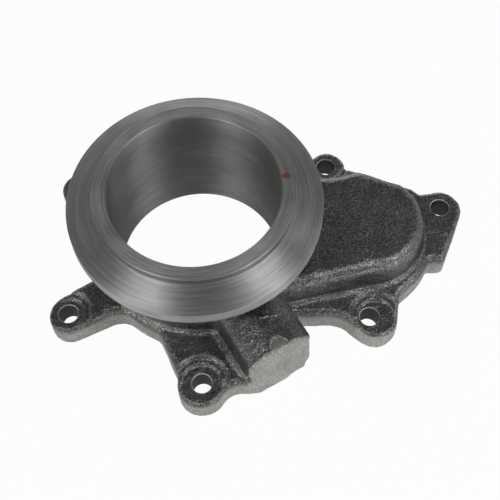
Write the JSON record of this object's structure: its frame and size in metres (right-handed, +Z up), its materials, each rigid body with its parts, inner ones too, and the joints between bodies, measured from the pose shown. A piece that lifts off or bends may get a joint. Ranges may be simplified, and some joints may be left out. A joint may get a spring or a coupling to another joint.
{
  "type": "turbo exhaust adapter",
  "caption": "Cast iron exhaust adapter: a bored neck with a machined clamp flange on a flat bolted base with eared outline, a raised side chamber and a square boss.",
  "frame": {"origin": "centre of the bounding box, on the joint face at the underside of the base", "axes": "+X from the bore towards the side chamber's bolted tip, +Y towards the ear behind the bore, +Z up along the bore's axis, out of the clamp flange"},
  "size_m": [0.1956, 0.158, 0.0635],
  "materials": {
    "cast_iron_skin": "as-cast, fine sandy grain, dark grey",
    "machined_iron": "turned, fine concentric tool marks"
  },
  "bodies": {
    "root": {"adapter_casting": "cast_iron_skin"}
  },
  "joints": []
}
